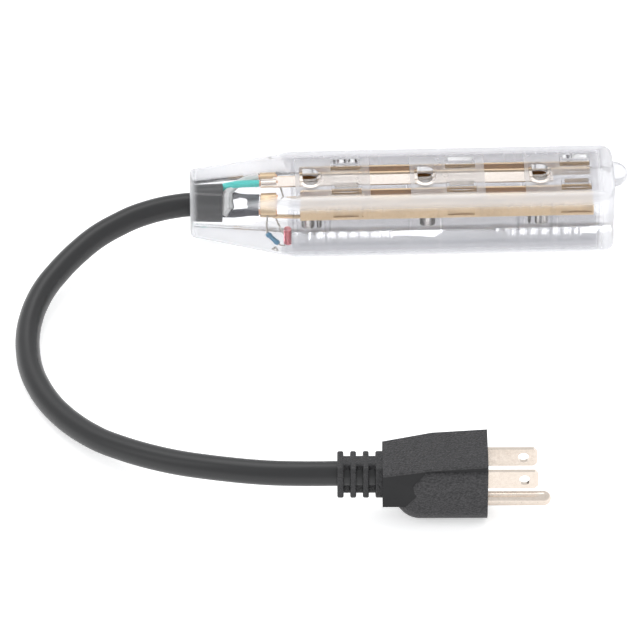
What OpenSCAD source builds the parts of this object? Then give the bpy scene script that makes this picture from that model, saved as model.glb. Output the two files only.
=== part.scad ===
// Short three-wire extension cord that ends in a clear, lit block with three grounded
// outlets. +X runs from the cord end of the block to its hang tab, +Z is up and the
// outlets face up. The origin is at the bottom centre of the block.

/* [Outlet block] */
// Length of the clear block without its hang tab
body_len = 142.5; // [141:0.5:146]
// Width of the clear block
body_w = 30; // [29:0.5:32]
// Height of the clear block
body_h = 25; // [25:0.5:27]
// Radius of the block's long edges
edge_r = 3.2; // [2:0.2:4]
// Radius of the corners beside the hang tab, seen from above
end_r = 5; // [3:0.5:7]
// Length of the tapered neck at the cord end
neck_len = 35; // [33:0.5:36]
// Width of the neck where the cord leaves it
neck_w = 17.5; // [17:0.5:20]
// Height of the neck where the cord leaves it
neck_h = 18.4; // [17.6:0.2:19]
// Height of the neck's underside where the cord leaves it
neck_z = 4.8; // [4:0.2:5.2]
// How far the hang tab stands out of the block's end
tab_out = 4.5; // [3.5:0.5:5]
// Radius of the hang tab
tab_r = 5.5; // [5:0.5:6.5]
// Thickness of the hang tab
tab_t = 3.2; // [2.4:0.2:3.6]

/* [Grip ribs] */
// Distance from one rib to the next
rib_pitch = 3.7; // [3:0.1:4.5]
// Width of one rib
rib_w = 1.5; // [1:0.1:2]
// How far a rib stands out of the block's side
rib_out = 0.35; // [0.2:0.05:0.6]
// Ribs in one group
rib_count = 7; // [5:1:8]

/* [Outlets] */
// Distance from the cord end to the first pair of slots
first_outlet = 52.5; // [52:0.5:53]
// Distance from one outlet to the next
outlet_pitch = 38.5; // [37.5:0.5:38.5]
// Distance between the two blade slots, centre to centre
blade_gap = 12.7; // [12.6:0.1:12.8]
// Distance from the blade slots back to the ground hole
ground_back = 11.9; // [11.8:0.1:12]
// Length of a blade slot
slot_len = 8; // [7.6:0.1:8.2]
// Width of a blade slot
slot_w = 2.2; // [2:0.1:2.4]
// Length of the clear sleeve around a blade slot
sleeve_len = 10; // [9.8:0.1:10.4]
// Width of the clear sleeve around a blade slot
sleeve_w = 4.4; // [4:0.1:4.6]
// Width of the D-shaped ground hole
ground_hole_d = 5.4; // [5.2:0.1:5.6]
// Width of the clear sleeve around the ground hole
ground_sleeve_d = 7.4; // [7.2:0.1:7.6]
// How far the sleeves stand out of the block's top
rim_h = 0.3; // [0.2:0.1:0.5]

/* [Cord] */
// Outside diameter of the cord
cord_d = 8.1; // [7.8:0.1:8.2]
// Height of the cord's axis where it leaves the block
cord_z = 13.2; // [13:0.1:13.5]
// Outside diameter of one insulated wire in the cord
wire_d = 3.2; // [2.8:0.1:3.3]

/* [Plug] */
// Length of the plug's moulded body
plug_len = 33.8; // [33:0.2:35]
// Width of the plug's top
plug_w = 20.7; // [20.3:0.1:21]
// Height of the plug's top above the middle of the blades
plug_top = 7.9; // [7.5:0.1:8.1]
// Depth of the plug's rear block below the middle of the blades
plug_under = 8.6; // [8.4:0.1:9]
// Radius of the round underside around the ground pin
bulge_r = 8.5; // [8:0.1:8.5]
// Length of the strain relief
relief_len = 14.5; // [14.3:0.1:15]
// Width of the strain relief
relief_w = 12; // [11.8:0.1:12.4]
// Height of the strain relief
relief_h = 11.4; // [11.2:0.1:11.4]
// Length of a blade in front of the plug's face
blade_len = 16.1; // [15.9:0.1:18.3]
// Width of a blade
blade_w = 6.35; // [6.2:0.05:6.4]
// Thickness of a blade
blade_t = 1.5; // [1.4:0.02:1.6]
// Diameter of the ground pin
pin_d = 4.8; // [4.7:0.02:4.84]
// Length of the ground pin in front of the plug's face, with its round tip
pin_len = 20.6; // [19.5:0.1:21.4]

/* [Hidden] */
$fn = 48;

// A small overlap for cuts and joins
lap = 0.5;
// The block's ends and the start of its neck
x_cord = -(body_len + tab_out) / 2;
x_end = x_cord + body_len;
x_neck = x_cord + neck_len;
// Where the outlets' blade slots are along X
outlet_x = [for (i = [0:2]) x_cord + first_outlet + i * outlet_pitch];
slot_y = blade_gap / 2;
// Middles of the two groups of grip ribs
rib_group_x = [outlet_x[0] + 1, outlet_x[2] - ground_back];
rib_z0 = 1.8;
rib_z1 = body_h - 1.8;
tab_z = body_h - 4;

// The clear tray inside the block
tray_x0 = x_neck - 0.2;
tray_x1 = x_end - 5.6;
tray_w = 24;
tray_z0 = 3.2;
tray_z1 = body_h - 4.8;
tray_wall = 1.2;
floor_z = tray_z0 + tray_wall;
partition_y = 3.2;
partition_t = 0.8;
divider_t = 0.8;
tray_notch_w = 4.6;
divider_at = [-7, 20.4];

// The outlet inserts that close the tray
insert_x0 = -17;
insert_x1 = 8;
insert_w = 21;
insert_z1 = tray_z1 + 1.4;
sleeve_z1 = body_h + rim_h;
post_at = [-8, 7];
post_w = 0.9;
post_z0 = 13.6;

// The bus bars: two walls each side of the blade's path, joined by webs between the outlets
bus_x0 = tray_x0 + 2.2;
bus_x1 = outlet_x[2] + 5.3;
bus_z0 = 14;
bus_z1 = 19;
bus_t = 0.7;
bus_outer_y = slot_y + 1.85;
bus_inner_y = slot_y - 2.15;
web_clear = 6.3;
window_len = 9.4;
window_z = [15, 18.1];
post_y = bus_outer_y + 1.2;
tail_w = 2;
tail_lap = 1;
crimp_x0 = x_neck - 11;
crimp_len = 5.2;
crimp_r = 2;
crimp_bore_r = 1.5;
crimp_y = 5.3;
crimp_z = 16;
strand_r = 1.1;
strand_out = 0.5;

// A sprung contact leaf
leaf_len = 10.6;
leaf_rise = 0.45;
leaf_t = 0.3;
leaf_gap = 0.65;
leaf_z = [14.9, 18.4];
leaf_r = (pow(leaf_len / 2, 2) + pow(leaf_rise, 2)) / (2 * leaf_rise);

// The ground strip and its sockets
strip_w = 5;
strip_t = 0.8;
strip_z = 19.3;
eye_r = 3.7;
strip_x1 = outlet_x[2] - ground_back + 4.4;
socket_z0 = 8;
socket_bore_r = 2.45;
socket_r = 2.95;
ground_crimp_z = 19.2;

// Pockets for the wires and for the lamp in the neck
wire_pocket_w = 16.2;
wire_pocket_z0 = 6;
lamp_pocket_x0 = x_neck - 11.2;
lamp_pocket_z0 = 3.4;
ground_pocket_w = 5.2;
ground_pocket_x0 = x_neck - 18;
cord_gap = 0.05;
jacket_end_x = x_cord + 11.4;

// The lamp, its resistor and their leads
lamp_x = x_neck - 2.1;
lamp_y = -9.5;
lamp_z = [4.9, 12.2];
lamp_r = 1.35;
lamp_wall = 0.3;
electrode_r = 0.32;
electrode_gap = 0.5;
electrode_len = 5;
lead_d = 0.56;
resistor_a = [x_neck - 9, lamp_y, 9];
resistor_b = [x_neck - 5.3, lamp_y, 4.9];
resistor_r = 0.9;
resistor_end_r = 1.1;

// Where the plug lies: the middle of its blades at its face, its turn and its lean
plug_at = [19.4, -142.7, 17.76];
plug_yaw = -1.6;
plug_lean = -6.5;
bulge_x = -21.5;
bulge_z = -9.3;
shoulder_r = 2;
shoulder_y = 8.3;
shoulder_z = 3.4;
shoulder_x = -19;
haunch = [-22.5, 8.3, -1];
core_w = 19.2;
rear_w = core_w + 0.1;
bend_x = -17.8;
bend_top = plug_top - 1.2;
rear_top = plug_top - 4.1;
lip_t = 0.9;
relief_z = -2;
relief_mid_z = -2.4;
relief_edge_r = 1.5;
relief_pitch = 4.05;
relief_gap = 2.1;
relief_depth = 3.4;
relief_first = 3.3;
ground_drop = 11.9;
insert_from = -12;
insert_to = -1.2;
insert_half_w = 7.6;
insert_half_h = 4.6;
insert_pin_r = 3.6;
cavity_from = -32;
wire_space_w = 16.8;
wire_space_top = 2.4;
wire_space_r = 3.6;
wire_step_w = 3.6;
wire_steps = [[-28, -6.4], [-25, -10]];
pin_space_x0 = -19.5;
blade_root = insert_from - 0.6;
shank_r = 2.2;
blade_hole_d = 3.6;
blade_hole_x = 11.7;
blade_tip = 1.1;
plug_crimp_len = 5.4;
cord_in_plug = -36;

// The cord's centreline from inside the neck to inside the plug
cord_route = [
    [jacket_end_x, 0, cord_z], [-66, 0, cord_z], [-70, 0, cord_z], [-74, 0, cord_z],
    [-79, -0.7, 13.1], [-84, -2, 13], [-88.5, -3.6, 12.8], [-93, -5.5, 12.4],
    [-97.5, -8.1, 11.9], [-102, -11.1, 11.4], [-106.2, -14.4, 10.7], [-110.2, -18.5, 10],
    [-114.2, -23, 9.1], [-118.2, -28.4, 8.2], [-121.8, -34, 7.3], [-124.8, -40.6, 6.4],
    [-127, -48, 5.5], [-128.2, -56.2, 4.8], [-128.2, -64.8, 4.3], [-127.1, -73.6, 4.1],
    [-124.7, -82, 4.1], [-121.4, -89.8, 4.2], [-117.4, -96.8, 4.6], [-113, -103, 5.2],
    [-108.4, -108.5, 6], [-103.8, -113.1, 6.8], [-99, -117, 7.7], [-93, -121.4, 8.8],
    [-86, -125.8, 10], [-79, -129.6, 11.2], [-72, -132.8, 12.4], [-64.5, -135.7, 13.5],
    [-57, -138, 14.3], [-49.5, -139.8, 15], [-42, -140.9, 15.5], [-35, -141.4, 15.7],
    [-28.6, -141.6, 15.77], [-22.5, -141.8, 15.77], [-16.6, -141.9, 15.77]
];
// The three wires in the neck, from the cord's end to their crimps
hot_route = [
    [jacket_end_x + 0.2, 1.2, 11.8], [-60.4, 0.4, 12.2], [-58.6, -1.6, 13.2],
    [-56.6, -3.3, 14.3], [-54.2, -4.5, 15.3], [-52, -5.1, 15.9], [-50, -crimp_y, crimp_z]
];
neutral_route = [
    [jacket_end_x + 0.2, -1.9, 12.9], [-60.3, -1.2, 15.2], [-58.4, 0.8, 16.2],
    [-56.4, 3.1, 15.9], [-54.2, 4.5, 15.8], [-52, 5.1, 15.9], [-50, crimp_y, crimp_z]
];
ground_route = [
    [jacket_end_x + 0.2, 1.5, 15.2], [-60.2, 1.4, 16.2], [-58, 1.1, 17.5],
    [-55.6, 0.6, 18.6], [-53, 0.2, 19.1], [-50, 0, ground_crimp_z]
];
// The same three wires inside the plug, from the cord's end to the blades and the pin
plug_wire_d = 2.6;
plug_hot_route = [
    [cord_in_plug + 0.2, -1.6, -2.9], [-33.5, -1.8, -2.6], [-30, -2.8, -1.8],
    [-26, -4.6, -0.8], [-22, -6, -0.2], [-18, -slot_y, 0]
];
plug_neutral_route = [
    [cord_in_plug + 0.2, 1.6, -2.9], [-33.5, 1.8, -2.6], [-30, 2.8, -1.8],
    [-26, 4.6, -0.8], [-22, 6, -0.2], [-18, slot_y, 0]
];
plug_ground_route = [
    [cord_in_plug + 0.2, 0, -0.2], [-33, 0, -0.6], [-30, 0, -2.2],
    [-27, 0, -3.6], [-24.5, 0, -5], [-22, 0, -7.5], [-20, 0, -10], [-18, 0, -ground_drop]
];

// The bare leads: hot crimp to resistor, resistor to lamp, and lamp to neutral crimp
hot_lead = [
    [-47.2, -7.4, 15.2], [-47.5, -8.6, 14], [-47.7, -9.4, 12.4], [-47.6, -9.5, 10.6],
    resistor_a
];
resistor_lead = [
    resistor_b, [-43.1, -9.5, 4.25], [-42.3, -9.5, 4], [-41.6, -9.5, 4.1], [-41.1, -9.5, 4.9]
];
neutral_lead = [
    [-40.1, -9.5, 4.9], [-40.1, -9.2, 4.2], [-40.2, -7.5, 4], [-40.6, -3, 4], [-41.2, 2, 4],
    [-42, 6, 4.6], [-43, 8.6, 6.6], [-44, 9.4, 9.6], [-45, 8.8, 12.8], [-46, 7.4, 15.2]
];

function unit(v) = v / norm(v);
// Direction of a route at its point i
function heading(p, i) = unit(p[min(i + 1, len(p) - 1)] - p[max(i - 1, 0)]);
// The corners of the ring at point i, set out from a direction that the route never runs along
function ring(p, i, r, sides, away) =
    let (h = heading(p, i), s = unit(cross(h, away)), u = cross(s, h))
    [for (k = [0:sides - 1]) p[i] + r * (cos(360 * k / sides) * s + sin(360 * k / sides) * u)];

// A round tube with its middle on a route
module tube(route, d, sides, away = [0, 0, 1]) {
    count = len(route);
    points = [for (i = [0:count - 1]) each ring(route, i, d / 2, sides, away)];
    walls = [
        for (i = [0:count - 2], k = [0:sides - 1])
            let (a = i * sides + k, b = i * sides + (k + 1) % sides)
            [a, a + sides, b + sides, b]
    ];
    near_cap = [for (k = [0:sides - 1]) k];
    far_cap = [for (k = [0:sides - 1]) count * sides - 1 - k];
    polyhedron(points, concat(walls, [near_cap, far_cap]));
}

// A box from its low corner to its high corner
module box(low, high) {
    translate(low)
        cube(high - low);
}

// A flat rectangle with round corners, centred
module rounded_rect(w, h, r) {
    square([w - 2 * r, h], center = true);
    square([w, h - 2 * r], center = true);
    for (x = [-1, 1], y = [-1, 1])
        translate([x * (w / 2 - r), y * (h / 2 - r)])
            circle(r);
}

// Draws a flat shape in the Y-Z plane and pulls it along +X
module along_x(x, length) {
    translate([x, 0, 0])
        rotate([90, 0, 90])
            linear_extrude(length)
                children();
}

// A cylinder along +X
module rod_x(at, r, length) {
    translate(at)
        rotate([0, 90, 0])
            cylinder(r = r, h = length);
}

// Width of the D-shaped ground opening at full roundness, flat towards the cord
module d_shape(d) {
    circle(d = d);
    translate([-d / 2, -d / 2])
        square([d / 2, d]);
}

module block_section(w, z0, h, r) {
    translate([0, z0 + h / 2])
        rounded_rect(w, h, r);
}

module block_plan() {
    translate([x_neck - lap, -body_w / 2 - lap])
        square([body_len - neck_len + lap - end_r, body_w + 2 * lap]);
    translate([x_neck, -body_w / 2 + end_r])
        square([body_len - neck_len, body_w - 2 * end_r]);
    for (y = [-1, 1])
        translate([x_end - end_r, y * (body_w / 2 - end_r)])
            circle(end_r);
}

module neck() {
    skin = 0.05;
    slice = 0.1;
    hull() {
        along_x(x_cord, slice)
            block_section(neck_w, neck_z, neck_h, edge_r, $fn = 32);
        along_x(x_neck + lap - slice, slice)
            block_section(body_w - 2 * skin, skin, body_h - 2 * skin, edge_r, $fn = 32);
    }
}

module grip_ribs() {
    for (middle = rib_group_x, i = [0:rib_count - 1])
        translate([middle + (i - (rib_count - 1) / 2) * rib_pitch, 0, 0])
            box([-rib_w / 2, -body_w / 2 - rib_out, rib_z0], [rib_w / 2, body_w / 2 + rib_out, rib_z1]);
}

// The space that the tray, the inserts and the wires take up inside the block
module block_cavity() {
    box([tray_x0, -tray_w / 2, tray_z0], [tray_x1, tray_w / 2, tray_z1]);
    box([jacket_end_x, -wire_pocket_w / 2, wire_pocket_z0], [x_neck, wire_pocket_w / 2, tray_z1]);
    box([lamp_pocket_x0, -tray_w / 2, lamp_pocket_z0], [x_neck, tray_w / 2, tray_z1]);
    box([ground_pocket_x0, -ground_pocket_w / 2, crimp_z], [x_neck, ground_pocket_w / 2, insert_z1]);
    rod_x([x_cord - lap, 0, cord_z], cord_d / 2 + cord_gap, jacket_end_x - x_cord + 2 * lap);
    for (x = outlet_x)
        translate([x, 0, 0]) {
            box([insert_x0, -insert_w / 2, tray_z1 - lap], [insert_x1, insert_w / 2, insert_z1]);
            for (y = [-slot_y, slot_y])
                box(
                    [-sleeve_len / 2, y - sleeve_w / 2, tray_z1],
                    [sleeve_len / 2, y + sleeve_w / 2, body_h + lap]
                );
            translate([-ground_back, 0, tray_z1])
                linear_extrude(body_h - tray_z1 + lap)
                    d_shape(ground_sleeve_d);
        }
}

module outer_jacket() {
    color([0.93, 0.94, 0.95, 0.35])
        difference() {
            union() {
                intersection() {
                    along_x(x_neck, body_len)
                        block_section(body_w, 0, body_h, edge_r);
                    translate([0, 0, -lap])
                        linear_extrude(body_h + 2 * lap)
                            block_plan();
                }
                neck();
                grip_ribs();
                translate([x_end + tab_out - tab_r, 0, tab_z])
                    cylinder(r = tab_r, h = tab_t);
            }
            block_cavity();
        }
}

// Cross walls that the bus bars rest on
module tray_dividers() {
    for (x = outlet_x, at = divider_at)
        if (x + at < tray_x1)
            translate([x + at - divider_t / 2, 0, 0]) {
                box([0, -tray_w / 2 + lap, floor_z - lap], [divider_t, tray_w / 2 - lap, bus_z0]);
                box([0, -partition_y - lap, floor_z], [divider_t, partition_y + lap, strip_z]);
            }
}

module carrier_tray() {
    color([0.9, 0.93, 0.95, 0.3])
        difference() {
            union() {
                difference() {
                    box([tray_x0, -tray_w / 2, tray_z0], [tray_x1, tray_w / 2, tray_z1]);
                    box(
                        [tray_x0 + tray_wall, -tray_w / 2 + tray_wall, floor_z],
                        [tray_x1 - tray_wall, tray_w / 2 - tray_wall, tray_z1 + lap]
                    );
                }
                for (y = [-1, 1])
                    translate([0, y * (partition_y + partition_t / 2), 0])
                        box(
                            [tray_x0 + tray_wall - lap, -partition_t / 2, floor_z - lap],
                            [tray_x1 - tray_wall + lap, partition_t / 2, strip_z]
                        );
                tray_dividers();
            }
            for (y = [-1, 1])
                translate([0, y * slot_y, 0])
                    box(
                        [tray_x0 - lap, -tray_notch_w / 2, bus_z0],
                        [tray_x0 + tray_wall + lap, tray_notch_w / 2, tray_z1 + lap]
                    );
            box(
                [tray_x0 - lap, -strip_w / 2 - cord_gap, strip_z],
                [tray_x0 + tray_wall + lap, strip_w / 2 + cord_gap, tray_z1 + lap]
            );
        }
}

// One moulded insert with the sleeves of an outlet's three holes
module outlet_insert(x) {
    color([0.92, 0.95, 0.97, 0.4])
        translate([x, 0, 0])
            difference() {
                union() {
                    box([insert_x0, -insert_w / 2, tray_z1], [insert_x1, insert_w / 2, insert_z1]);
                    for (y = [-slot_y, slot_y])
                        box(
                            [-sleeve_len / 2, y - sleeve_w / 2, tray_z1],
                            [sleeve_len / 2, y + sleeve_w / 2, sleeve_z1]
                        );
                    translate([-ground_back, 0, tray_z1])
                        linear_extrude(sleeve_z1 - tray_z1)
                            d_shape(ground_sleeve_d);
                    for (at = post_at, y = [-1, 1])
                        translate([at, y * post_y, 0])
                            box([-post_w / 2, -post_w / 2, post_z0], [post_w / 2, post_w / 2, tray_z1 + lap]);
                }
                for (y = [-slot_y, slot_y])
                    box(
                        [-slot_len / 2, y - slot_w / 2, tray_z1 - lap],
                        [slot_len / 2, y + slot_w / 2, sleeve_z1 + lap]
                    );
                translate([-ground_back, 0, tray_z1 - lap])
                    linear_extrude(sleeve_z1 - tray_z1 + 2 * lap)
                        d_shape(ground_hole_d);
            }
}

// A crimped barrel along X, open at both ends
module crimp(at, length) {
    difference() {
        rod_x(at, crimp_r, length);
        rod_x(at - [lap, 0, 0], crimp_bore_r, length + 2 * lap);
    }
}

// A bus bar on the -Y side
module blade_bus() {
    for (y = [bus_outer_y - bus_t, bus_inner_y])
        difference() {
            box([bus_x0, -y - bus_t, bus_z0], [bus_x1, -y, bus_z1]);
            for (x = outlet_x)
                box(
                    [x - window_len / 2, -y - bus_t - lap, window_z[0]],
                    [x + window_len / 2, -y + lap, window_z[1]]
                );
        }
    starts = concat([bus_x0], [for (x = outlet_x) x + web_clear]);
    ends = [for (x = outlet_x) x - web_clear];
    for (i = [0:len(ends) - 1])
        box([starts[i], -bus_outer_y, bus_z0], [ends[i], -bus_inner_y, bus_z0 + bus_t]);
    box(
        [crimp_x0 + crimp_len - tail_lap, -crimp_y - tail_w / 2, bus_z0],
        [bus_x0 + lap, -crimp_y + tail_w / 2, bus_z0 + bus_t]
    );
    crimp([crimp_x0, -crimp_y, crimp_z], crimp_len);
}

module hot_bus() {
    color("#b88a52")
        blade_bus();
}

module neutral_bus() {
    color("#b88a52")
        mirror([0, 1, 0])
            blade_bus();
}

module ground_bus() {
    color("#b88a52") {
        difference() {
            union() {
                box(
                    [crimp_x0 + crimp_len - tail_lap, -strip_w / 2, strip_z],
                    [strip_x1, strip_w / 2, strip_z + strip_t]
                );
                for (x = outlet_x)
                    translate([x - ground_back, 0, strip_z])
                        cylinder(r = eye_r, h = strip_t);
            }
            for (x = outlet_x)
                translate([x - ground_back, 0, strip_z - lap])
                    cylinder(r = socket_bore_r, h = strip_t + 2 * lap);
        }
        crimp([crimp_x0, 0, ground_crimp_z], crimp_len);
    }
}

// One bowed leaf whose middle leans towards the blade, on the +Y side of the blade
module leaf() {
    intersection() {
        translate([0, leaf_gap + leaf_r, 0])
            difference() {
                cylinder(r = leaf_r, h = leaf_z[1], $fn = 96);
                translate([0, 0, -lap])
                    cylinder(r = leaf_r - leaf_t, h = leaf_z[1] + 2 * lap, $fn = 96);
            }
        box([-leaf_len / 2, 0, leaf_z[0]], [leaf_len / 2, leaf_gap + leaf_rise + leaf_t, leaf_z[1]]);
    }
}

module blade_contact(x, y) {
    color("#c8a064")
        translate([x, y, 0]) {
            leaf();
            mirror([0, 1, 0])
                leaf();
        }
}

module ground_contact(x) {
    color("silver")
        translate([x - ground_back, 0, socket_z0])
            difference() {
                cylinder(r = socket_r, h = strip_z - socket_z0);
                translate([0, 0, -lap])
                    cylinder(r = socket_bore_r, h = strip_z - socket_z0 + 2 * lap);
            }
}

module hot_wire() {
    color("#1c1c1e")
        tube(hot_route, wire_d, 8);
}

module neutral_wire() {
    color("#e8e8e4")
        tube(neutral_route, wire_d, 8);
}

module ground_wire() {
    color("#3fc9bd")
        tube(ground_route, wire_d, 8);
}

module strands(y, z) {
    color("#c07a48")
        rod_x([crimp_x0 - strand_out, y, z], strand_r, crimp_len + 2 * strand_out);
}

module hot_strands() {
    strands(-crimp_y, crimp_z);
}

module neutral_strands() {
    strands(crimp_y, crimp_z);
}

module ground_strands() {
    strands(0, ground_crimp_z);
}

module lamp_glass() {
    color([0.95, 0.45, 0.5, 0.5])
        translate([lamp_x, lamp_y, lamp_z[0]])
            difference() {
                union() {
                    cylinder(r = lamp_r, h = lamp_z[1] - lamp_z[0] - lamp_r);
                    translate([0, 0, lamp_z[1] - lamp_z[0] - lamp_r])
                        sphere(lamp_r);
                }
                translate([0, 0, lamp_wall])
                    cylinder(r = lamp_r - lamp_wall, h = lamp_z[1] - lamp_z[0] - lamp_r - lamp_wall);
            }
}

module lamp_electrodes() {
    color("#b04048")
        for (x = [-1, 1])
            translate([lamp_x + x * electrode_gap, lamp_y, lamp_z[0] + lamp_wall])
                cylinder(r = electrode_r, h = electrode_len);
}

module resistor_body() {
    run = resistor_b - resistor_a;
    color("#4d8fb5")
        translate(resistor_a)
            rotate([0, atan2(norm([run[0], run[1]]), run[2]), atan2(run[1], run[0])]) {
                cylinder(r = resistor_r, h = norm(run));
                for (z = [resistor_r, norm(run) - resistor_r])
                    translate([0, 0, z])
                        sphere(resistor_end_r);
            }
}

module lamp_leads() {
    color("#9a8f80") {
        tube(hot_lead, lead_d, 8, [0, 1, 0]);
        tube(resistor_lead, lead_d, 8, [0, 1, 0]);
        tube(neutral_lead, lead_d, 8, [1, 0, 0]);
    }
}

module cord_jacket() {
    color("#151517")
        tube(cord_route, cord_d, 12);
}

// Puts a piece drawn on the plug's own axes where the plug lies
module place_plug() {
    translate(plug_at)
        rotate([plug_lean, 0, plug_yaw])
            children();
}

// A flat shape in the X-Z plane, pulled across the plug's width
module across(w) {
    translate([0, w / 2, 0])
        rotate([90, 0, 0])
            linear_extrude(w)
                children();
}

// Front plate and rear block under the plug's top, whose surface falls towards the rear
module plug_core() {
    across(core_w)
        polygon([
            [0, 0], [0, plug_top], [bend_x, bend_top], [-plug_len, rear_top],
            [-plug_len, -plug_under], [bulge_x, -plug_under], [bulge_x, 0]
        ]);
}

// Thin top that overhangs the plug's sides in front
module plug_lip() {
    intersection() {
        across(plug_w)
            polygon([
                [0, plug_top - lip_t], [0, plug_top], [bend_x, bend_top], [-plug_len, rear_top],
                [-plug_len, rear_top - lip_t], [bend_x, bend_top - lip_t]
            ]);
        linear_extrude(plug_top)
            polygon([
                [0, -plug_w / 2], [0, plug_w / 2], [bend_x, plug_w / 2],
                [-plug_len, rear_w / 2], [-plug_len, -rear_w / 2], [bend_x, -plug_w / 2]
            ]);
    }
}

// Round underside around the ground pin, with high shoulders and a domed rear end
module plug_bulge() {
    hull() {
        rod_x([bulge_x, 0, bulge_z], bulge_r, -bulge_x, $fn = 32);
        translate([bulge_x, 0, bulge_z])
            sphere(r = bulge_r, $fn = 32);
        for (y = [-1, 1]) {
            rod_x([shoulder_x, y * shoulder_y, shoulder_z], shoulder_r, -shoulder_x, $fn = 32);
            translate([haunch[0], y * haunch[1], haunch[2]])
                sphere(r = shoulder_r, $fn = 32);
        }
    }
}

// Square sleeve on the cord, cut from both sides so that it bends
module relief_sleeve() {
    difference() {
        along_x(-plug_len - relief_len, relief_len + lap)
            translate([0, relief_mid_z])
                rounded_rect(relief_w, relief_h, relief_edge_r);
        for (i = [0:2], y = [-1, 1])
            translate([-plug_len - relief_first - i * relief_pitch, y * relief_w / 2, relief_mid_z])
                cube([relief_gap, 2 * relief_depth, relief_h + lap], center = true);
    }
}

// The plug's inner space for its insert and its wires
module plug_cavity() {
    box([insert_from, -insert_half_w, -insert_half_h], [insert_to, insert_half_w, insert_half_h]);
    box(
        [cavity_from, -wire_space_w / 2, -insert_half_h],
        [insert_from + lap, wire_space_w / 2, wire_space_top]
    );
    for (step = wire_steps)
        box([step[0], -wire_step_w / 2, step[1]], [insert_to, wire_step_w / 2, -insert_half_h + lap]);
    box([pin_space_x0, -insert_pin_r, -ground_drop], [insert_to, insert_pin_r, -insert_half_h + lap]);
    rod_x([pin_space_x0, 0, -ground_drop], insert_pin_r, insert_to - pin_space_x0);
    relief_x0 = -plug_len - relief_len;
    rod_x([relief_x0 - lap, 0, relief_z], cord_d / 2 + cord_gap, cord_in_plug - relief_x0 + lap);
    rod_x([cord_in_plug - lap, 0, relief_z], wire_space_r, cavity_from - cord_in_plug + 2 * lap);
    for (y = [-slot_y, slot_y])
        box([insert_to - lap, y - blade_t / 2, -blade_w / 2], [lap, y + blade_t / 2, blade_w / 2]);
    rod_x([insert_to - lap, 0, -ground_drop], pin_d / 2, 2 * lap - insert_to);
}

module plug_body() {
    color("#232325")
        place_plug()
            difference() {
                union() {
                    plug_core();
                    plug_lip();
                    plug_bulge();
                    relief_sleeve();
                }
                plug_cavity();
            }
}

module plug_insert() {
    color("#3a3a3c")
        place_plug()
            difference() {
                union() {
                    box(
                        [insert_from, -insert_half_w, -insert_half_h],
                        [insert_to, insert_half_w, insert_half_h]
                    );
                    box([insert_from, -insert_pin_r, -ground_drop], [insert_to, insert_pin_r, 0]);
                    rod_x([insert_from, 0, -ground_drop], insert_pin_r, insert_to - insert_from);
                }
                for (y = [-slot_y, slot_y])
                    box(
                        [insert_from - lap, y - blade_t / 2, -blade_w / 2],
                        [insert_to + lap, y + blade_t / 2, blade_w / 2]
                    );
                rod_x([insert_from - lap, 0, -ground_drop], shank_r, insert_to - insert_from + 2 * lap);
            }
}

// One flat blade with a hole, a chamfered tip and a crimp barrel at its rear
module blade(y) {
    outline = [
        [blade_root, -blade_w / 2], [blade_len - blade_tip, -blade_w / 2],
        [blade_len, -blade_w / 2 + blade_tip], [blade_len, blade_w / 2 - blade_tip],
        [blade_len - blade_tip, blade_w / 2], [blade_root, blade_w / 2]
    ];
    color("#b5aca0")
        place_plug()
            translate([0, y, 0]) {
                difference() {
                    translate([0, blade_t / 2, 0])
                        rotate([90, 0, 0])
                            linear_extrude(blade_t)
                                polygon(outline);
                    translate([blade_hole_x, blade_t, 0])
                        rotate([90, 0, 0])
                            cylinder(d = blade_hole_d, h = 2 * blade_t);
                }
                crimp([insert_from - plug_crimp_len, 0, 0], plug_crimp_len);
            }
}

module hot_blade() {
    blade(-slot_y);
}

module neutral_blade() {
    blade(slot_y);
}

module ground_pin() {
    straight = pin_len - pin_d / 2;
    color("#b5aca0")
        place_plug()
            translate([0, 0, -ground_drop]) {
                rod_x([0, 0, 0], pin_d / 2, straight);
                translate([straight, 0, 0])
                    sphere(d = pin_d);
                rod_x([blade_root, 0, 0], shank_r, lap - blade_root);
                crimp([insert_from - plug_crimp_len, 0, 0], plug_crimp_len);
            }
}

module plug_hot_wire() {
    color("#1c1c1e")
        place_plug()
            tube(plug_hot_route, plug_wire_d, 8);
}

module plug_neutral_wire() {
    color("#e8e8e4")
        place_plug()
            tube(plug_neutral_route, plug_wire_d, 8);
}

module plug_ground_wire() {
    color("#3fc9bd")
        place_plug()
            tube(plug_ground_route, plug_wire_d, 8);
}

outer_jacket();
carrier_tray();
outlet_insert(outlet_x[0]);  // outlet_insert_1
outlet_insert(outlet_x[1]);  // outlet_insert_2
outlet_insert(outlet_x[2]);  // outlet_insert_3
hot_bus();
neutral_bus();
ground_bus();
blade_contact(outlet_x[0], -slot_y);  // hot_contact_1
blade_contact(outlet_x[1], -slot_y);  // hot_contact_2
blade_contact(outlet_x[2], -slot_y);  // hot_contact_3
blade_contact(outlet_x[0], slot_y);  // neutral_contact_1
blade_contact(outlet_x[1], slot_y);  // neutral_contact_2
blade_contact(outlet_x[2], slot_y);  // neutral_contact_3
ground_contact(outlet_x[0]);  // ground_contact_1
ground_contact(outlet_x[1]);  // ground_contact_2
ground_contact(outlet_x[2]);  // ground_contact_3
hot_wire();
neutral_wire();
ground_wire();
hot_strands();
neutral_strands();
ground_strands();
lamp_glass();
lamp_electrodes();
resistor_body();
lamp_leads();
cord_jacket();
plug_body();
plug_insert();
hot_blade();
neutral_blade();
ground_pin();
plug_hot_wire();
plug_neutral_wire();
plug_ground_wire();
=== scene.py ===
"""Looks for a short grounded extension cord with a clear, lighted block of three outlets.

Everything is in metres in the part's own frame: +X from the block's cord end to its hang tab,
+Z up, outlets facing up. Sizes below are written in millimetres and scaled by MM.
"""

import math

import bmesh
import bpy
from mathutils import Euler, Matrix, Vector


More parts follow.
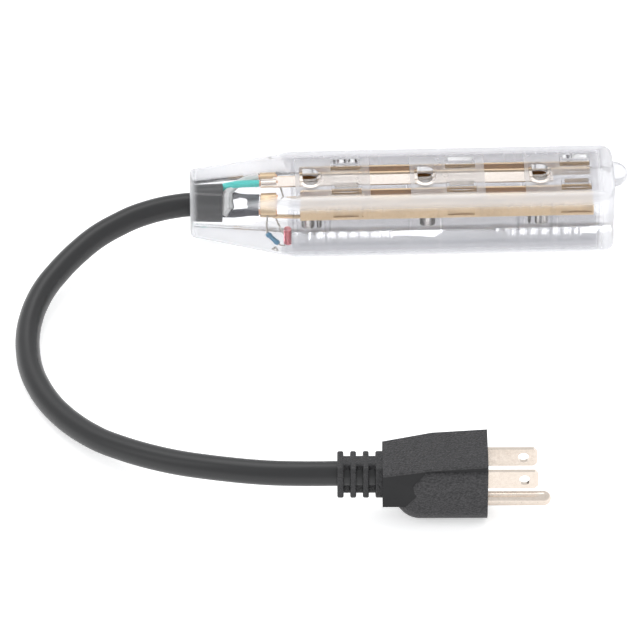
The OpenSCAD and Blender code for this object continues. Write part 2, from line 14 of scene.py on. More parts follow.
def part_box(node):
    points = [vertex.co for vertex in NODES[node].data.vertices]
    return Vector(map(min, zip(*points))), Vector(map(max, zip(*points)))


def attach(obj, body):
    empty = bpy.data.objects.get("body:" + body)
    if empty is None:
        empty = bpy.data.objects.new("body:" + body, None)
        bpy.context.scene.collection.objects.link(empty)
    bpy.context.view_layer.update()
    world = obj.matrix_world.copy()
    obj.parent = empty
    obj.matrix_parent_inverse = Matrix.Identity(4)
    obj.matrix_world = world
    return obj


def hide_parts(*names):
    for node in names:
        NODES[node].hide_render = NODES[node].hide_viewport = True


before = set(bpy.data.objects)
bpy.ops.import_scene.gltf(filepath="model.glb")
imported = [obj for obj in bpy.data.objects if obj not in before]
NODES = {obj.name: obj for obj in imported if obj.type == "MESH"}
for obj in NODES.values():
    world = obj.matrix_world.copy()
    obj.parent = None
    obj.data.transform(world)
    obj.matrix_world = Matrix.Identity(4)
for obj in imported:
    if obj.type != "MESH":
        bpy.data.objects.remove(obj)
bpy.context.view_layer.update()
MM = 0.001

# ---------------------------------------------------------------- sizes, in millimetres
BODY_LEN, BODY_W, BODY_H = 142.5, 30.0, 25.0
EDGE_R, END_R, END_EDGE_R, CORD_END_R = 3.2, 5.0, 1.6, 1.4
X_CORD, X_NECK, X_END = -73.5, -38.5, 69.0
NECK_W, NECK_Z0, NECK_Z1 = 17.5, 4.8, 23.2
RIB_PITCH, RIB_W, RIB_OUT, RIB_COUNT = 3.7, 1.5, 0.3, 7
RIB_Z0, RIB_Z1 = 1.8, 23.2
TAB_X, TAB_R, TAB_Z, TAB_T = 68.0, 5.5, 21.0, 3.2
OUTLET_X = (-21.0, 17.5, 56.0)
SLOT_Y, GROUND_BACK = 6.35, 11.9
SLEEVE_LEN, SLEEVE_W, GROUND_SLEEVE_D = 10.0, 4.4, 7.4
TRAY_X0, TRAY_X1, TRAY_W, TRAY_Z0, TRAY_Z1 = -38.7, 63.4, 24.0, 3.2, 20.2
RIB_GROUPS = (OUTLET_X[0] + 1, OUTLET_X[2] - GROUND_BACK)

CORD_D, CORD_LENGTH, CORD_EXIT = 8.1, 255.0, (-73.5, 0.0, 13.2)
CORD_ROUTE = (
    (-62.1, 0, 13.2), (-66, 0, 13.2), (-70, 0, 13.2), (-74, 0, 13.2),
    (-79, -0.7, 13.1), (-84, -2, 13), (-88.5, -3.6, 12.8), (-93, -5.5, 12.4),
    (-97.5, -8.1, 11.9), (-102, -11.1, 11.4), (-106.2, -14.4, 10.7), (-110.2, -18.5, 10),
    (-114.2, -23, 9.1), (-118.2, -28.4, 8.2), (-121.8, -34, 7.3), (-124.8, -40.6, 6.4),
    (-127, -48, 5.5), (-128.2, -56.2, 4.8), (-128.2, -64.8, 4.3), (-127.1, -73.6, 4.1),
    (-124.7, -82, 4.1), (-121.4, -89.8, 4.2), (-117.4, -96.8, 4.6), (-113, -103, 5.2),
    (-108.4, -108.5, 6), (-103.8, -113.1, 6.8), (-99, -117, 7.7), (-93, -121.4, 8.8),
    (-86, -125.8, 10), (-79, -129.6, 11.2), (-72, -132.8, 12.4), (-64.5, -135.7, 13.5),
    (-57, -138, 14.3), (-49.5, -139.8, 15), (-42, -140.9, 15.5), (-35, -141.4, 15.7),
    (-28.6, -141.6, 15.77), (-22.5, -141.8, 15.77), (-16.6, -141.9, 15.77),
)
PLUG_AT, PLUG_YAW, PLUG_LEAN = (19.4, -142.7, 17.76), -1.6, -6.5
PLUG_LEN, PLUG_W, CORE_W, LIP_T = 33.8, 20.7, 19.2, 0.9
PLUG_TOP, BEND_X, BEND_TOP, REAR_TOP, PLUG_UNDER = 7.9, -17.8, 6.7, 3.8, 8.6
BULGE_X, BULGE_Z, BULGE_R = -21.5, -9.3, 8.5
BLOCK_X, BLOCK_Z = -26.5, -3.0
SHOULDER_X, SHOULDER_Y, SHOULDER_Z, SHOULDER_R = -19.0, 8.3, 3.4, 2.0
HAUNCH_X, HAUNCH_Z = -22.5, -1.0
RELIEF_LEN, RELIEF_W, RELIEF_H, RELIEF_MID_Z, RELIEF_EDGE_R = 14.5, 12.0, 11.4, -2.4, 1.5
RELIEF_PITCH, RELIEF_GAP, RELIEF_DEPTH, RELIEF_FIRST = 4.05, 2.1, 3.4, 3.3
RELIEF_CUTS, RELIEF_OVERLAP, RELIEF_SOFT_EDGE = 3, 1.0, 0.55
LIP_REAR_OVERHANG, PLUG_SOFT_EDGE = 0.05, 0.3

# Width of the rounded edge on CAD nodes that get one.
INSERT_EDGE, BUS_EDGE, BLADE_EDGE = 0.2, 0.1, 0.18

# Where the clear block turns milky, each as (still clear, fully milky).
MILKY_NEAR, MILKY_FAR = (-10.5, -13.0), (8.5, 11.5)
MILKY_TOP, MILKY_UNDER = (20.0, 23.5), (4.5, 1.5)
MILKY_CORD_END, MILKY_TAB_END = (X_CORD + 3, X_CORD), (TRAY_X1 - 1, TRAY_X1 + 3)

# ---------------------------------------------------------------- camera and light, in metres and watts
CAMERA_AZIMUTH, CAMERA_ELEVATION, CAMERA_DISTANCE = -1.905, 40.0, 2.5
CAMERA_LENS, CAMERA_SENSOR = 423.06, 36.0
CAMERA_TARGET = (-0.03124, -0.04596, 0)
KEY_AT, KEY_AIM, KEY_SIZE, KEY_POWER = (-0.35, 0.55, 1.3), (-0.03, -0.05, 0), (1.1, 0.8), 5.0
SIDE_AT, SIDE_AIM, SIDE_SIZE, SIDE_POWER = (-1.2, -0.5, 0.9), (-0.05, -0.08, 0), (0.3, 1.0), 1.5
SKY_STRENGTH, FLOOR_GLOW = 1.0, 0.45
FLOOR_REACH, FLOOR_DROP = 4.0, 0.0002
CLEAR_BOUNCES, SEE_THROUGH_BOUNCES = 24, 48


# ---------------------------------------------------------------- camera, light and floor
def make_camera():
    azimuth, elevation = math.radians(CAMERA_AZIMUTH), math.radians(CAMERA_ELEVATION)
    back = Vector((
        math.sin(azimuth) * math.cos(elevation),
        -math.cos(azimuth) * math.cos(elevation),
        math.sin(elevation),
    ))
    data = bpy.data.cameras.new("camera")
    data.lens, data.sensor_width = CAMERA_LENS, CAMERA_SENSOR
    camera = bpy.data.objects.new("camera", data)
    bpy.context.scene.collection.objects.link(camera)
    camera.location = Vector(CAMERA_TARGET) + back * CAMERA_DISTANCE
    camera.rotation_mode = "QUATERNION"
    camera.rotation_quaternion = (-back).to_track_quat("-Z", "Y")
    bpy.context.scene.camera = camera


def make_area_light(name, location, aim, size, power):
    data = bpy.data.lights.new(name, "AREA")
    data.shape, data.size, data.size_y = "RECTANGLE", size[0], size[1]
    data.energy = power
    light = bpy.data.objects.new(name, data)
    bpy.context.scene.collection.objects.link(light)
    light.location = location
    light.rotation_euler = (Vector(aim) - Vector(location)).to_track_quat("-Z", "Y").to_euler()


def make_studio():
    world = bpy.data.worlds.new("studio")
    bpy.context.scene.world = world
    world.use_nodes = True
    background = world.node_tree.nodes["Background"]
    background.inputs["Color"].default_value = (0.98, 0.99, 1.0, 1)
    background.inputs["Strength"].default_value = SKY_STRENGTH
    make_area_light("key", KEY_AT, KEY_AIM, KEY_SIZE, KEY_POWER)
    make_area_light("side", SIDE_AT, SIDE_AIM, SIDE_SIZE, SIDE_POWER)
    mesh = bpy.data.meshes.new("floor")
    sides = ((-1, -1), (1, -1), (1, 1), (-1, 1))
    corners = [(x * FLOOR_REACH, y * FLOOR_REACH, -FLOOR_DROP) for x, y in sides]
    mesh.from_pydata(corners, [], [(0, 1, 2, 3)])
    floor = bpy.data.objects.new("floor", mesh)
    bpy.context.scene.collection.objects.link(floor)
    paint, shader = new_material("floor_paint")
    shader.inputs["Base Color"].default_value = (0.93, 0.93, 0.93, 1)
    shader.inputs["Roughness"].default_value = 0.9
    shader.inputs["Specular IOR Level"].default_value = 0.1
    shader.inputs["Emission Color"].default_value = (1, 1, 1, 1)
    shader.inputs["Emission Strength"].default_value = FLOOR_GLOW
    mesh.materials.append(paint)


# ---------------------------------------------------------------- material helpers
def new_material(name):
    """A material with one Principled shader, and that shader."""
    made = bpy.data.materials.new(name)
    made.use_nodes = True
    return made, made.node_tree.nodes["Principled BSDF"]


def node(made, kind, **values):
    """A new node in a material, with these input values set by name."""
    found = made.node_tree.nodes.new(kind)
    for key, value in values.items():
        found.inputs[key.replace("_", " ")].default_value = value
    return found


def link(made, source, target):
    made.node_tree.links.new(source, target)


def object_place(made):
    return node(made, "ShaderNodeTexCoord").outputs["Object"]


def noise(made, scale, detail=4.0, roughness=0.55):
    """Noise that is fixed to the object, at so many cells a metre."""
    found = node(made, "ShaderNodeTexNoise", Scale=scale, Detail=detail, Roughness=roughness)
    link(made, object_place(made), found.inputs["Vector"])
    return found


def spread(made, source, low, high):
    """Maps 0..1 to low..high."""
    found = node(made, "ShaderNodeMapRange", To_Min=low, To_Max=high)
    link(made, source, found.inputs["Value"])
    return found.outputs["Result"]


def add_bump(made, shader, height, strength, distance):
    found = node(made, "ShaderNodeBump", Strength=strength, Distance=distance)
    link(made, height, found.inputs["Height"])
    link(made, found.outputs["Normal"], shader.inputs["Normal"])


def let_light_through(made, shader, colour):
    """Lets lamps reach what is behind this glass."""
    path = node(made, "ShaderNodeLightPath")
    clear = node(made, "ShaderNodeBsdfTransparent", Color=colour)
    mix = node(made, "ShaderNodeMixShader")
    output = made.node_tree.nodes["Material Output"]
    link(made, path.outputs["Is Shadow Ray"], mix.inputs["Fac"])
    link(made, shader.outputs["BSDF"], mix.inputs[1])
    link(made, clear.outputs["BSDF"], mix.inputs[2])
    link(made, mix.outputs["Shader"], output.inputs["Surface"])


# ---------------------------------------------------------------- materials
def band(made, axis, start, full):
    """0 where the object's own coordinate is at start, rising smoothly to 1 where it is at full."""
    parts = node(made, "ShaderNodeSeparateXYZ")
    link(made, object_place(made), parts.inputs["Vector"])
    found = node(made, "ShaderNodeMapRange", From_Min=start * MM, From_Max=full * MM)
    found.interpolation_type = "SMOOTHSTEP"
    link(made, parts.outputs[axis], found.inputs["Value"])
    return found.outputs["Result"]


def pick(made, operation, *sources):
    """The largest or the smallest of several values."""
    chosen = sources[0]
    for source in sources[1:]:
        found = node(made, "ShaderNodeMath")
        found.operation = operation
        link(made, chosen, found.inputs[0])
        link(made, source, found.inputs[1])
        chosen = found.outputs[0]
    return chosen


def make_clear(name, colour, transmission, roughness, ior, milky=None):
    """Clear moulded plastic with a very faint ripple.

    Where milky is given, the block's ends and long edges let only that much light through.
    """
    made, shader = new_material(name)
    shader.inputs["Base Color"].default_value = (*colour, 1)
    shader.inputs["IOR"].default_value = ior
    if milky is None:
        shader.inputs["Transmission Weight"].default_value = transmission
    else:
        sides = pick(made, "MAXIMUM", band(made, "Y", *MILKY_NEAR), band(made, "Y", *MILKY_FAR))
        levels = pick(made, "MAXIMUM", band(made, "Z", *MILKY_TOP), band(made, "Z", *MILKY_UNDER))
        ends = pick(
            made, "MAXIMUM", pick(made, "MINIMUM", sides, levels),
            band(made, "X", *MILKY_CORD_END), band(made, "X", *MILKY_TAB_END),
        )
        link(made, spread(made, ends, transmission, milky), shader.inputs["Transmission Weight"])
    flow = noise(made, 260, detail=2)
    gloss = spread(made, flow.outputs["Fac"], roughness * 0.8, roughness * 1.2)
    link(made, gloss, shader.inputs["Roughness"])
    add_bump(made, shader, flow.outputs["Fac"], 0.015, 0.0003)
    let_light_through(made, shader, (0.9, 0.91, 0.92, 1))
    return made


def make_bond(name, clear, edge):
    """A see-through surface, a little darker at a slant, where two clear mouldings have joined. In dark
    colours it is painted shade along rounded edges.
    """
    made, shader = new_material(name)
    made.node_tree.nodes.remove(shader)
    facing = node(made, "ShaderNodeLayerWeight", Blend=0.35)
    tint = node(made, "ShaderNodeMixRGB", Color1=(*clear, 1), Color2=(*edge, 1))
    link(made, facing.outputs["Facing"], tint.inputs["Fac"])
    seen = node(made, "ShaderNodeBsdfTransparent")
    link(made, tint.outputs["Color"], seen.inputs["Color"])
    link(made, seen.outputs["BSDF"], made.node_tree.nodes["Material Output"].inputs["Surface"])
    return made


def make_veil(name, amount):
    """A moulded face inside the block that scatters part of the light."""
    made, shader = new_material(name)
    shader.inputs["Base Color"].default_value = (0.93, 0.92, 0.92, 1)
    shader.inputs["Roughness"].default_value = 0.4
    flow = noise(made, 150, detail=2)
    seen = node(made, "ShaderNodeBsdfTransparent")
    mix = node(made, "ShaderNodeMixShader")
    link(made, spread(made, flow.outputs["Fac"], amount * 0.6, amount * 1.4), mix.inputs["Fac"])
    link(made, seen.outputs["BSDF"], mix.inputs[1])
    link(made, shader.outputs["BSDF"], mix.inputs[2])
    link(made, mix.outputs["Shader"], made.node_tree.nodes["Material Output"].inputs["Surface"])
    return made


def make_metal(name, colour, dark, roughness, scale=900):
    """Plated or bare stamped metal: tone and gloss vary a little, with fine drawing marks."""
    made, shader = new_material(name)
    shader.inputs["Metallic"].default_value = 1.0
    tone = noise(made, scale)
    tint = node(made, "ShaderNodeMixRGB", Color1=(*colour, 1), Color2=(*dark, 1))
    link(made, tone.outputs["Fac"], tint.inputs["Fac"])
    link(made, tint.outputs["Color"], shader.inputs["Base Color"])
    gloss = spread(made, tone.outputs["Fac"], roughness * 0.75, roughness * 1.35)
    link(made, gloss, shader.inputs["Roughness"])
    fine = noise(made, scale * 6, detail=2)
    add_bump(made, shader, fine.outputs["Fac"], 0.12, 0.00005)
    return made


def make_plastic(name, colour, roughness, bump, scale, specular=0.5):
    """Opaque plastic or lacquer, with a fine surface and uneven gloss."""
    made, shader = new_material(name)
    shader.inputs["Specular IOR Level"].default_value = specular
    tone = noise(made, scale * 0.2, detail=3)
    dark = tuple(0.8 * c for c in colour)
    tint = node(made, "ShaderNodeMixRGB", Color1=(*dark, 1), Color2=(*colour, 1))
    link(made, tone.outputs["Fac"], tint.inputs["Fac"])
    link(made, tint.outputs["Color"], shader.inputs["Base Color"])
    gloss = spread(made, tone.outputs["Fac"], roughness * 0.85, roughness * 1.15)
    link(made, gloss, shader.inputs["Roughness"])
    fine = noise(made, scale, detail=2)
    add_bump(made, shader, fine.outputs["Fac"], bump, 0.0002)
    return made


def make_pebbled(name, dark, light, scale):
    """Moulded plastic with a pebbled skin, whose high spots are painted lighter as a painted highlight."""
    made, shader = new_material(name)
    shader.inputs["Roughness"].default_value = 0.5
    shader.inputs["Specular IOR Level"].default_value = 0.4
    grain = noise(made, scale, detail=1)
    # dark is the plastic's own colour; light is painted highlight on the grain's high spots.
    tint = node(made, "ShaderNodeMixRGB", Color1=(*dark, 1), Color2=(*light, 1))
    grain_highlight_paint = node(made, "ShaderNodeMapRange", From_Min=0.3, From_Max=0.7)
    link(made, grain.outputs["Fac"], grain_highlight_paint.inputs["Value"])
    link(made, grain_highlight_paint.outputs["Result"], tint.inputs["Fac"])
    link(made, tint.outputs["Color"], shader.inputs["Base Color"])
    add_bump(made, shader, grain.outputs["Fac"], 1.0, 0.0004)
    return made


def make_materials():
    return {
        "clear_pvc": make_clear("clear_pvc", (0.92, 0.92, 0.945), 0.965, 0.02, 1.44, 0.5),
        "clear_carrier": make_clear("clear_carrier", (0.98, 0.985, 0.99), 0.95, 0.03, 1.46),
        "bond": make_bond("bond", (1.0, 1.0, 1.0), (0.9, 0.9, 0.9)),
        "tray_wall": make_bond("tray_wall", (0.97, 0.97, 0.97), (0.8, 0.8, 0.82)),
        # Painted shade: a dark see-through tint for the inserts' bevelled edges, standing in for
        # refraction.
        "painted_edge_shade": make_bond("painted_edge_shade", (0.16, 0.16, 0.18), (0.08, 0.08, 0.1)),
        "veil": make_veil("veil", 0.3),
        "pale_brass": make_metal("pale_brass", (0.92, 0.85, 0.78), (0.80, 0.70, 0.60), 0.22),
        "brass": make_metal("brass", (0.74, 0.56, 0.36), (0.56, 0.40, 0.23), 0.32),
        "nickel_socket": make_metal("nickel_socket", (0.86, 0.83, 0.79), (0.72, 0.68, 0.62), 0.18),
        "black_insulation": make_plastic("black_insulation", (0.02, 0.02, 0.035), 0.4, 0.1, 2500),
        "white_insulation": make_plastic("white_insulation", (0.82, 0.82, 0.80), 0.4, 0.1, 2500),
        "green_insulation": make_plastic("green_insulation", (0.05, 0.78, 0.70), 0.4, 0.1, 2500),
        "copper": make_metal("copper", (0.85, 0.50, 0.32), (0.62, 0.32, 0.18), 0.35, 3000),
        "lamp_glass": make_clear("lamp_glass", (0.98, 0.42, 0.48), 0.85, 0.05, 1.45),
        "lamp_metal": make_metal("lamp_metal", (0.75, 0.16, 0.20), (0.55, 0.10, 0.14), 0.4),
        "resistor_lacquer": make_plastic("resistor_lacquer", (0.06, 0.28, 0.48), 0.3, 0.1, 3000),
        "tinned_wire": make_metal("tinned_wire", (0.66, 0.62, 0.56), (0.45, 0.42, 0.38), 0.35),
        "black_cord": make_plastic("black_cord", (0.012, 0.012, 0.013), 0.36, 0.12, 2600),
        # The lighter of the two pebbled colours is painted highlight on the grain tops.
        "black_plug": make_pebbled("black_plug", (0.009, 0.009, 0.010), (0.042, 0.040, 0.043), 1500),
        "plug_relief": make_pebbled("plug_relief", (0.014, 0.014, 0.015), (0.034, 0.033, 0.035), 1800),
        "plug_smooth": make_plastic("plug_smooth", (0.010, 0.010, 0.011), 0.5, 0.15, 1500, 0.3),
        "plug_core": make_plastic("plug_core", (0.04, 0.04, 0.042), 0.5, 0.3, 2000),
        "nickel_blade": make_metal("nickel_blade", (0.74, 0.66, 0.59), (0.58, 0.50, 0.43), 0.24),
    }


# ---------------------------------------------------------------- mesh helpers
def add_piece(name, mesh):
    piece = bpy.data.objects.new(name, mesh)
    bpy.context.scene.collection.objects.link(piece)
    return piece


def finish_piece(piece, slot, *nodes):
    """The piece moves with the object and stands for these CAD nodes. The slot is not used."""
    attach(piece, "root")
    if nodes:
        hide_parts(*nodes)
    return piece


def smooth(mesh, angle=32):
    mesh.polygons.foreach_set("use_smooth", [True] * len(mesh.polygons))
    mesh.set_sharp_from_angle(angle=math.radians(angle))


def loft(name, rings):
    """A closed mesh through rings of points that all have the same count."""
    count = len(rings[0])
    points = [Vector(p) * MM for ring in rings for p in ring]
    faces = [
        (i * count + k, i * count + (k + 1) % count, (i + 1) * count + (k + 1) % count, (i + 1) * count + k)
        for i in range(len(rings) - 1)
        for k in range(count)
    ]
    faces.append(tuple(reversed(range(count))))
    faces.append(tuple(range((len(rings) - 1) * count, len(rings) * count)))
    mesh = bpy.data.meshes.new(name)
    mesh.from_pydata(points, [], faces)
    shape = bmesh.new()
    shape.from_mesh(mesh)
    bmesh.ops.recalc_face_normals(shape, faces=shape.faces)
    shape.to_mesh(mesh)
    shape.free()
    return mesh


def combine(piece, tools, operation):
    """Joins the tools to the piece or cuts them from it, and removes them."""
    for tool in tools:
        change = piece.modifiers.new("combine", "BOOLEAN")
        change.operation, change.object = operation, tool
        change.solver, change.material_mode = "EXACT", "TRANSFER"
    graph = bpy.context.evaluated_depsgraph_get()
    made = bpy.data.meshes.new_from_object(piece.evaluated_get(graph))
    piece.modifiers.clear()
    old, piece.data = piece.data, made
    made.name = old.name
    for tool in tools:
        bpy.data.objects.remove(tool)


def soften(piece, edge, angle=35):
    """Rounds the sharp edges of a piece."""
    bevel = piece.modifiers.new("bevel", "BEVEL")
    bevel.width, bevel.segments, bevel.limit_method = edge * MM, 3, "ANGLE"
    bevel.angle_limit, bevel.harden_normals = math.radians(angle), True


def box_piece(name, low, high, surface=None):
    mesh = bpy.data.meshes.new(name)
    shape = bmesh.new()
    bmesh.ops.create_cube(shape, size=1)
    for vert in shape.verts:
        vert.co = Vector([(a + b) / 2 + v * (b - a) for a, b, v in zip(low, high, vert.co)]) * MM
    shape.to_mesh(mesh)
    shape.free()
    if surface:
        mesh.materials.append(surface)
    return add_piece(name, mesh)


def rounded_section(half_w, z0, z1, radius, bulge=0.0, segments=7):
    """Points round a block's section as (y, z), with its flat sides pushed out by bulge."""
    points = []
    corners = ((1, 1, 0), (-1, 1, 90), (-1, -1, 180), (1, -1, 270))
    middle = (z0 + z1) / 2
    for side, up, start in corners:
        y = side * (half_w - radius)
        z = middle + up * ((z1 - z0) / 2 - radius)
        for i in range(segments + 1):
            angle = math.radians(start + 90 * i / segments)
            dy, dz = radius * math.cos(angle), radius * math.sin(angle)
            reach = z + dz
            fade = min(1, max(0, min(reach - RIB_Z0, RIB_Z1 - reach) / (EDGE_R - RIB_Z0)))
            points.append((y + dy + side * bulge * fade * abs(math.cos(angle)), z + dz))
    return points


# ---------------------------------------------------------------- the clear block
def block_size(x):
    """Half width, bottom and top of the block at x."""
    if x < X_NECK:
        t = (x - X_CORD) / (X_NECK - X_CORD)
        size = (
            NECK_W / 2 + t * (BODY_W - NECK_W) / 2,
            NECK_Z0 * (1 - t),
            NECK_Z1 + t * (BODY_H - NECK_Z1),
        )
    else:
        size = (BODY_W / 2, 0.0, BODY_H)
    half_w, z0, z1 = size
    into_corner = x - (X_END - END_R)
    if into_corner > 0:
        half_w -= END_R - math.sqrt(max(0, END_R**2 - into_corner**2))
    into_edge = x - (X_END - END_EDGE_R)
    if into_edge > 0:
        inset = END_EDGE_R - math.sqrt(max(0, END_EDGE_R**2 - into_edge**2))
        z0, z1 = z0 + inset, z1 - inset
    into_cord_end = X_CORD + CORD_END_R - x
    if into_cord_end > 0:
        inset = CORD_END_R - math.sqrt(max(0, CORD_END_R**2 - into_cord_end**2))
        half_w, z0, z1 = half_w - inset, z0 + inset, z1 - inset
    return half_w, z0, z1


def block_stations():
    """Where the block's sections are along X, each with how far the grip ribs stand out there."""
    steps, neck_steps, crease = 8, 12, 0.7
    rise = [math.sin(math.radians(90 * i / steps)) for i in range(steps + 1)]
    stations = [(X_CORD + CORD_END_R * (1 - s), 0) for s in rise]
    stations += [(X_CORD + (X_NECK - X_CORD) * i / neck_steps, 0) for i in range(1, neck_steps)]
    stations += [(X_NECK - crease, 0), (X_NECK, 0), (X_NECK + crease, 0)]
    for middle in RIB_GROUPS:
        for i in range(RIB_COUNT):
            x = middle + (i - (RIB_COUNT - 1) / 2) * RIB_PITCH
            stations += [(x - RIB_W / 2, 0), (x - RIB_W / 4, RIB_OUT)]
            stations += [(x + RIB_W / 4, RIB_OUT), (x + RIB_W / 2, 0)]
    stations += [(X_END - END_R + END_R * s, 0) for s in rise]
    stations += [(X_END - END_EDGE_R + END_EDGE_R * s, 0) for s in rise[1:-1]]
    return sorted(set((round(x, 4), out) for x, out in stations))


def make_tab():
    """Round tab lying flat, with softened edges. Its inner half sinks into the block."""
    edge, sides = 0.8, 48
    step = edge * 0.3
    turns = [math.tau * k / sides for k in range(sides)]
    levels = (
        (0, edge), (step, step), (edge, 0),
        (TAB_T - edge, 0), (TAB_T - step, step), (TAB_T, edge),
    )
    rings = []
    for z, inset in levels:
        radius = TAB_R - inset
        rings.append([(TAB_X + radius * math.cos(t), radius * math.sin(t), TAB_Z + z) for t in turns])
    return add_piece("tab", loft("tab", rings))


def d_outline(diameter, steps=20):
    """The outline of a ground opening, round towards +X and flat towards the cord."""
    radius = diameter / 2
    arc = [
        (radius * math.cos(math.radians(a)), radius * math.sin(math.radians(a)))
        for a in [-90 + 180 * i / steps for i in range(steps + 1)]
    ]
    return arc + [(-radius, radius), (-radius, -radius)]


def prism(name, outline, at, z0, z1, surface):
    rings = [[(at[0] + x, at[1] + y, z) for x, y in outline] for z in (z0, z1)]
    mesh = loft(name, rings)
    mesh.materials.append(surface)
    return add_piece(name, mesh)


def make_jacket(looks):
    rings = []
    for x, out in block_stations():
        half_w, z0, z1 = block_size(x)
        radius = min(EDGE_R, half_w, (z1 - z0) / 2)
        rings.append([(x, y, z) for y, z in rounded_section(half_w, z0, z1, radius, out)])
    jacket = add_piece("clear_jacket", loft("clear_jacket", rings))
    jacket.data.materials.append(looks["clear_pvc"])
    combine(jacket, [make_tab()], "UNION")
    below, above = TRAY_Z1 - 1, BODY_H + 2
    ground_outline = d_outline(GROUND_SLEEVE_D)
    half_l, half_w = SLEEVE_LEN / 2, SLEEVE_W / 2
    frame_outline = [(-half_l, -half_w), (half_l, -half_w), (half_l, half_w), (-half_l, half_w)]
    tools = [box_piece(
        "tray_space", (TRAY_X0, -TRAY_W / 2, TRAY_Z0), (TRAY_X1, TRAY_W / 2, TRAY_Z1), looks["bond"]
    )]
    for x in OUTLET_X:
        for y in (-SLOT_Y, SLOT_Y):
            tools.append(prism("sleeve_space", frame_outline, (x, y), below, above, looks["bond"]))
        centre = (x - GROUND_BACK, 0)
        tools.append(prism("ground_space", ground_outline, centre, below, above, looks["bond"]))
    combine(jacket, tools, "DIFFERENCE")
    smooth(jacket.data)
    finish_piece(jacket, "clear_pvc", "outer_jacket")


def refine_cad(name, edge, angle=35):
    """Rounds a CAD node's edges for show. Its own mesh keeps its shape."""
    piece = NODES[name]
    smooth(piece.data)
    merge = piece.modifiers.new("merge", "DECIMATE")
    merge.decimate_type, merge.angle_limit, merge.delimit = "DISSOLVE", math.radians(0.5), {"MATERIAL"}
    bevel = piece.modifiers.new("bevel", "BEVEL")
    bevel.width, bevel.segments, bevel.limit_method = edge * MM, 2, "ANGLE"
    bevel.angle_limit, bevel.harden_normals = math.radians(angle), True


def dress(name, slot, looks, edge=None):
    piece = NODES[name]
    piece.data.materials.clear()
    piece.data.materials.append(looks[slot])
    if edge:
        refine_cad(name, edge)
    else:
        smooth(piece.data)
    return piece


def dress_insert(name, looks):
    """Finishes for the rim, its edge line, the shelf, the walls and the faces joined to the block. The edge
    line is painted shade: the bevelled edges get a dark see-through tint.
    """
    piece = dress(name, "clear_carrier", looks, INSERT_EDGE)
    rim, joined, painted_shade_slot, shelf, wall = range(5)
    for surface in ("bond", "painted_edge_shade", "veil", "tray_wall"):
        piece.data.materials.append(looks[surface])
    # The bevelled edges take the painted shade.
    piece.modifiers["bevel"].material = painted_shade_slot
    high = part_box(name)[1]
    top = high.z - INSERT_EDGE * MM
    for face in piece.data.polygons:
        centre, normal = face.center, face.normal
        is_rim = centre.z > top and normal.z > 0.5
        is_shelf = TRAY_Z1 * MM < centre.z < top - 2 * MM and normal.z > 0.5
        is_wall = centre.z > TRAY_Z1 * MM and abs(normal.z) < 0.5
        face.material_index = rim if is_rim else shelf if is_shelf else wall if is_wall else joined


# ---------------------------------------------------------------- the plug
def plug_place():
    """Takes a point on the plug's own axes to its place."""
    turn = Euler((math.radians(PLUG_LEAN), 0, math.radians(PLUG_YAW)), "XYZ").to_matrix().to_4x4()
    return Matrix.Translation(Vector(PLUG_AT) * MM) @ turn


def disc(x, y, z, radius, sides=64):
    """Points round a circle that faces along X."""
    turns = [math.tau * k / sides for k in range(sides)]
    return [(x, y + radius * math.cos(t), z + radius * math.sin(t)) for t in turns]


def ball(x, y, z, radius, rows=16):
    """Points over a sphere, in discs along X."""
    points = []
    for row in range(1, rows):
        turn = math.pi * row / rows
        points += disc(x + radius * math.cos(turn), y, z, radius * math.sin(turn), 2 * rows)
    return points


def wrap(name, points, surface):
    """The smallest bulging skin around the points."""
    mesh = bpy.data.meshes.new(name)
    shape = bmesh.new()
    for point in points:
        shape.verts.new(Vector(point) * MM)
    made = bmesh.ops.convex_hull(shape, input=shape.verts)
    loose = {v for v in made["geom_interior"] + made["geom_unused"] if isinstance(v, bmesh.types.BMVert)}
    bmesh.ops.delete(shape, geom=list(loose), context="VERTS")
    flat = math.radians(0.5)
    bmesh.ops.dissolve_limit(shape, angle_limit=flat, verts=shape.verts, edges=shape.edges)
    shape.to_mesh(mesh)
    shape.free()
    mesh.materials.append(surface)
    return add_piece(name, mesh)


def make_plug_core(surface):
    """Front plate and rear block, whose top falls towards the rear."""
    below = LIP_T / 2
    outline = (
        (0, 0), (0, PLUG_TOP - below), (BEND_X, BEND_TOP - below), (-PLUG_LEN, REAR_TOP - below),
        (-PLUG_LEN, -PLUG_UNDER), (BLOCK_X, -PLUG_UNDER), (BULGE_X, BLOCK_Z), (BULGE_X, 0),
    )
    mesh = loft("plug_shell", [[(x, y, z) for x, z in outline] for y in (-CORE_W / 2, CORE_W / 2)])
    mesh.materials.append(surface)
    return add_piece("plug_shell", mesh)


def make_plug_lip(surface):
    """Thin pebbled top that overhangs the sides in front."""
    sections = (
        (-PLUG_LEN, REAR_TOP, CORE_W / 2 + LIP_REAR_OVERHANG),
        (BEND_X, BEND_TOP, PLUG_W / 2),
        (0, PLUG_TOP, PLUG_W / 2),
    )
    rings = []
    for x, top, half_w in sections:
        under = top - LIP_T
        rings.append([(x, -half_w, top), (x, half_w, top), (x, half_w, under), (x, -half_w, under)])
    mesh = loft("lip", rings)
    mesh.materials.append(surface)
    return add_piece("lip", mesh)


def make_plug_bulge(surface):
    """Round underside around the ground pin, with high shoulders and a domed rear end."""
    points = disc(0, 0, BULGE_Z, BULGE_R) + ball(BULGE_X, 0, BULGE_Z, BULGE_R, 32)
    for side in (-1, 1):
        y = side * SHOULDER_Y
        points += disc(0, y, SHOULDER_Z, SHOULDER_R, 32) + ball(SHOULDER_X, y, SHOULDER_Z, SHOULDER_R)
        points += ball(HAUNCH_X, y, HAUNCH_Z, SHOULDER_R)
    return wrap("bulge", points, surface)


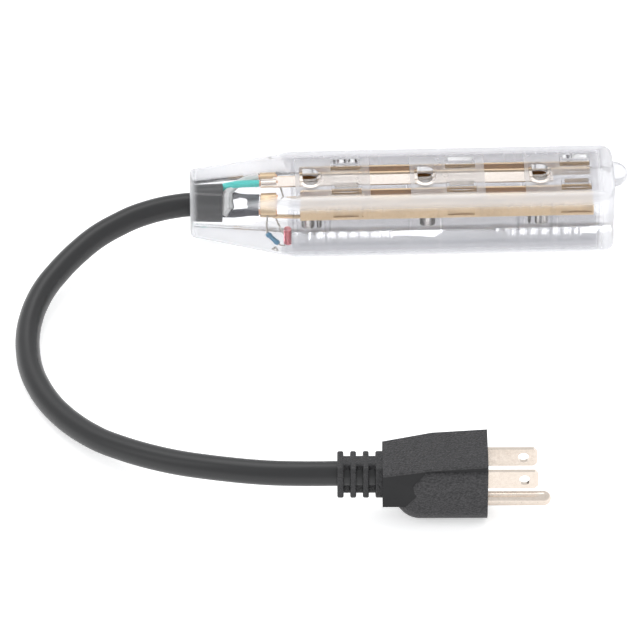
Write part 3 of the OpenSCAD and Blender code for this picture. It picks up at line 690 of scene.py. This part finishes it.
def make_relief(surface):
    """Square sleeve on the cord, cut from both sides, with rounded ring edges."""
    z0, z1 = RELIEF_MID_Z - RELIEF_H / 2, RELIEF_MID_Z + RELIEF_H / 2
    rear = -PLUG_LEN - RELIEF_LEN
    section = rounded_section(RELIEF_W / 2, z0, z1, RELIEF_EDGE_R)
    mesh = loft("relief", [[(x, y, z) for y, z in section] for x in (rear, RELIEF_OVERLAP - PLUG_LEN)])
    mesh.materials.append(surface)
    relief = add_piece("relief", mesh)
    cuts = []
    for i in range(RELIEF_CUTS):
        x = -PLUG_LEN - RELIEF_FIRST - i * RELIEF_PITCH
        for side in (-1, 1):
            inner, outer = sorted((side * (RELIEF_W / 2 - RELIEF_DEPTH), side * RELIEF_W))
            low, high = (x - RELIEF_GAP / 2, inner, z0 - 1), (x + RELIEF_GAP / 2, outer, z1 + 1)
            cuts.append(box_piece("cut", low, high, surface))
    combine(relief, cuts, "DIFFERENCE")
    soften(relief, RELIEF_SOFT_EDGE, 40)
    return relief


def make_plug(looks):
    plug = make_plug_core(looks["plug_smooth"])
    pebbled = looks["black_plug"]
    added = [make_plug_lip(pebbled), make_plug_bulge(pebbled), make_relief(looks["plug_relief"])]
    combine(plug, added, "UNION")
    plug.data.transform(plug_place())
    smooth(plug.data, 30)
    soften(plug, PLUG_SOFT_EDGE)
    return finish_piece(plug, "black_plug", "plug_body")


# ---------------------------------------------------------------- the cord
def make_cord(looks, plug):
    data = bpy.data.curves.new("cord", "CURVE")
    data.dimensions, data.resolution_u = "3D", 10
    data.bevel_depth, data.bevel_resolution, data.use_fill_caps = CORD_D / 2 * MM, 10, True
    spline = data.splines.new("BEZIER")
    spline.bezier_points.add(len(CORD_ROUTE) - 1)
    for point, place in zip(spline.bezier_points, CORD_ROUTE):
        point.co = Vector(place) * MM
        point.handle_left_type = point.handle_right_type = "AUTO"
    data.materials.append(looks["black_cord"])
    cord = add_piece("cord", data)
    finish_piece(cord, "black_cord", "cord_jacket")


# ---------------------------------------------------------------- everything together
make_camera()
bpy.context.scene.view_settings.view_transform = "Standard"
make_studio()
bpy.context.scene.cycles.max_bounces = CLEAR_BOUNCES
bpy.context.scene.cycles.transmission_bounces = CLEAR_BOUNCES
bpy.context.scene.cycles.transparent_max_bounces = SEE_THROUGH_BOUNCES
looks = make_materials()
make_cord(looks, make_plug(looks))
make_jacket(looks)
dress("carrier_tray", "clear_carrier", looks)
NODES["carrier_tray"].data.materials[0] = looks["tray_wall"]
for number in (1, 2, 3):
    dress_insert(f"outlet_insert_{number}", looks)
    dress(f"hot_contact_{number}", "brass", looks)
    dress(f"neutral_contact_{number}", "brass", looks)
    dress(f"ground_contact_{number}", "nickel_socket", looks)
for name in ("hot_bus", "neutral_bus", "ground_bus"):
    dress(name, "brass", looks, BUS_EDGE)
NODES["ground_bus"].data.materials[0] = looks["pale_brass"]
for name in ("hot_strands", "neutral_strands", "ground_strands"):
    dress(name, "copper", looks)
for name, slot in (
    ("hot_wire", "black_insulation"),
    ("neutral_wire", "white_insulation"),
    ("ground_wire", "green_insulation"),
    ("plug_hot_wire", "black_insulation"),
    ("plug_neutral_wire", "white_insulation"),
    ("plug_ground_wire", "green_insulation"),
    ("lamp_glass", "lamp_glass"),
    ("lamp_electrodes", "lamp_metal"),
    ("resistor_body", "resistor_lacquer"),
    ("lamp_leads", "tinned_wire"),
):
    dress(name, slot, looks)
dress("plug_insert", "plug_core", looks)
for name in ("hot_blade", "neutral_blade"):
    dress(name, "nickel_blade", looks, BLADE_EDGE)
dress("ground_pin", "nickel_blade", looks)
